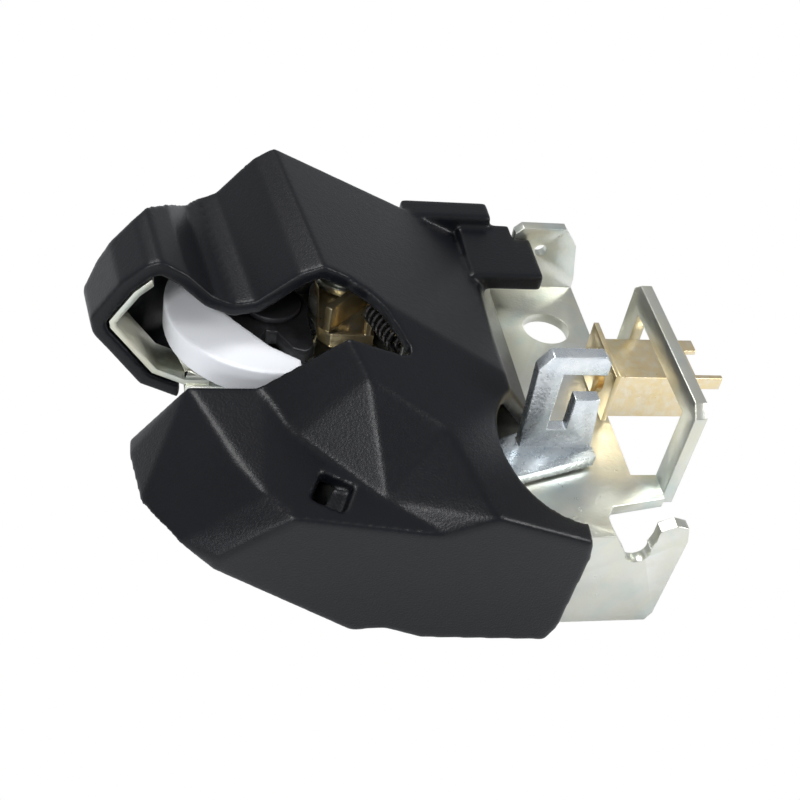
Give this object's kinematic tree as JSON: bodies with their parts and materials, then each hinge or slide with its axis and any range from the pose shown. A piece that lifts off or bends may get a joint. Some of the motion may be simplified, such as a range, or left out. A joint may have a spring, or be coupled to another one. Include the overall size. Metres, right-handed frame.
{
  "type": "trunk latch",
  "caption": "Trunk latch: folded zinc plated frame with a rotary catch, pawl and cable release lever under a slotted black moulded cover.",
  "frame": {"origin": "on the axis of the mounting hole, at the underside of the main plate", "axes": "+Z along the mounting hole's axis towards the roof of the cover, +X away from the mouth of the striker slot, +Y towards the far flange"},
  "size_m": [0.1114, 0.0775, 0.0503],
  "materials": {
    "zinc_sheet": "zinc plated sheet with a faint iridescent passivation",
    "bright_zinc": "bright blue-white zinc plate",
    "zinc_rivet": "plain zinc plate",
    "dark_steel": "dark phosphated steel",
    "dark_screw": "black zinc plate",
    "spring_wire": "oiled black spring wire",
    "yellow_zinc": "yellow passivated zinc plate",
    "black_moulding": "fine matt moulded black",
    "white_moulding": "smooth white moulding",
    "pale_plastic": "natural moulding",
    "black_rubber": "matt moulded rubber"
  },
  "bodies": {
    "frame": {"main_plate": "zinc_sheet", "bridge_plate": "zinc_sheet", "bridge_posts": "zinc_rivet", "guide_channel": "zinc_sheet", "striker_buffer": "black_rubber", "cover": "black_moulding", "cover_screws": "dark_screw", "catch_collar": "zinc_rivet", "catch_rivet": "dark_steel", "catch_spring": "spring_wire", "pawl_rivet": "zinc_rivet", "pawl_spring": "spring_wire", "lever_rivet": "zinc_rivet", "lever_spring": "spring_wire", "pivot_washers": "pale_plastic", "cable_clip": "yellow_zinc"},
    "catch": {"catch_core": "dark_steel", "catch_overmould": "white_moulding"},
    "pawl": {"pawl": "yellow_zinc", "pawl_drive_pin": "zinc_rivet"},
    "lever": {"release_lever": "bright_zinc"}
  },
  "joints": [
    {"name": "catch_turn", "type": "hinge", "parent": "frame", "child": "catch", "pos_m": [-0.055, -0.009, 0], "axis": [0, 0, 1], "range_deg": [-60, 0]},
    {"name": "lever_turn", "type": "hinge", "parent": "frame", "child": "lever", "pos_m": [-0.026, -0.041, 0], "axis": [0, 0, 1], "range_deg": [-8, 0], "stiffness_Nm_per_rad": 0.05, "springref_deg": 5.73},
    {"name": "pawl_turn", "type": "hinge", "parent": "frame", "child": "pawl", "pos_m": [-0.04, 0.005, 0], "axis": [0, 0, 1], "range_deg": [0, 10.2]}
  ],
  "couplings": [
    {"joint": "pawl_turn", "follows": "lever_turn", "ratio": -1.25}
  ]
}
